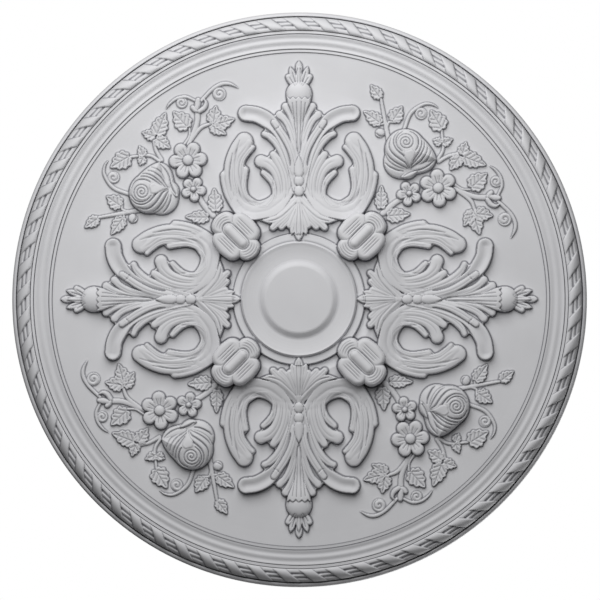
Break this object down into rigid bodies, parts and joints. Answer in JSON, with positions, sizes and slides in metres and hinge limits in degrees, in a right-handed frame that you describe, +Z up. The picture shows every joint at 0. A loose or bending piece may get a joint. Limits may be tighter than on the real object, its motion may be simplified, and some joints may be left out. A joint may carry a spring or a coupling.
{
  "type": "ceiling rose",
  "caption": "Round moulded ceiling rose with a rope-wrapped rim, acanthus arms, flower sprays and a flat middle seat for a light fitting.",
  "frame": {"origin": "middle of the flat back, on the ceiling plane", "axes": "+Z up into the ceiling, the carved face looks down along -Z; an arm lies along -Y, +Y, -X and +X, the clasps and sprays lie between them"},
  "size_m": [0.829, 0.829, 0.051],
  "materials": {
    "white_primer": "matt factory primer"
  },
  "bodies": {
    "root": {"ceiling_rose": "white_primer"}
  },
  "joints": []
}
